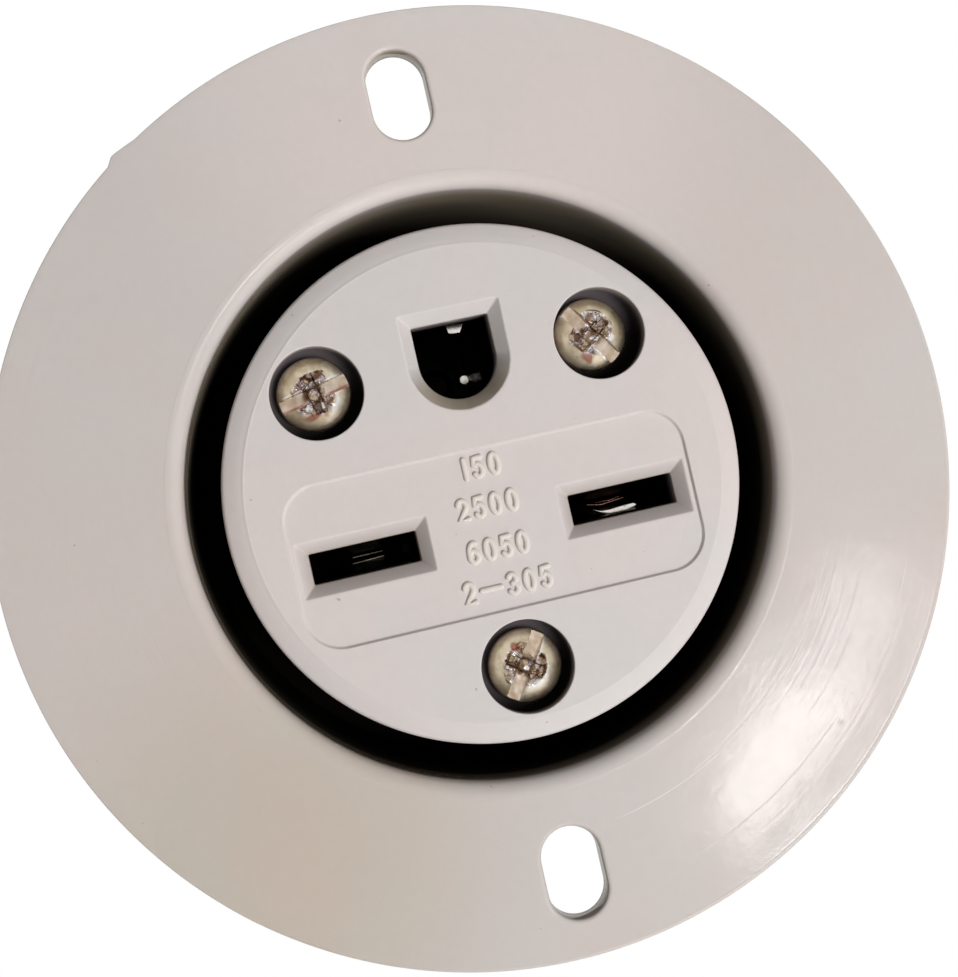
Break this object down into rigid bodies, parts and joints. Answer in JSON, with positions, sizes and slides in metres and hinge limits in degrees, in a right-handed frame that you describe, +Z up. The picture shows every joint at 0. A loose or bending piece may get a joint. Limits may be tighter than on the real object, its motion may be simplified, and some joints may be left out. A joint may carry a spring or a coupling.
{
  "type": "flanged receptacle",
  "caption": "Round panel-mount power outlet: a slotted flange, a deep ring-shaped well and a central face with two blade slots in line, a ground hole and sunk screws.",
  "frame": {"origin": "on the axis of the barrel, in the plane of the flange's back face, which is the panel's front", "axes": "+Y along the barrel into the panel, so the face looks along -Y; +Z up, with the ground hole above the blade slots; +X to the right as seen from the front"},
  "size_m": [0.0661, 0.038, 0.066],
  "materials": {
    "flange_grey": "moulded, satin, lightly scuffed",
    "face_grey": "moulded, satin",
    "carrier_black": "moulded, matt",
    "brass_sheet": "rolled sheet",
    "spring_bronze": "rolled spring strip",
    "rivet_brass": "headed",
    "brass_screw": "turned",
    "green_screw": "green coating",
    "plated_screw": "yellowish zinc plating",
    "nut_brass": "turned"
  },
  "bodies": {
    "root": {"flange_housing": "flange_grey", "face_insert": "face_grey", "contact_carrier": "carrier_black", "rear_cover": "carrier_black", "line_contact_left": "spring_bronze", "line_contact_right": "spring_bronze", "ground_contact": "spring_bronze", "terminal_plate_left": "brass_sheet", "terminal_plate_right": "brass_sheet", "terminal_plate_ground": "brass_sheet", "contact_rivet_left": "rivet_brass", "contact_rivet_right": "rivet_brass", "contact_rivet_ground": "rivet_brass", "wire_clamp_left": "brass_sheet", "wire_clamp_right": "brass_sheet", "wire_clamp_ground": "brass_sheet", "terminal_screw_left": "brass_screw", "terminal_screw_right": "brass_screw", "terminal_screw_ground": "green_screw", "assembly_screw_left": "plated_screw", "assembly_screw_right": "plated_screw", "assembly_screw_bottom": "plated_screw", "assembly_nut_left": "nut_brass", "assembly_nut_right": "nut_brass", "assembly_nut_bottom": "nut_brass"}
  },
  "joints": []
}
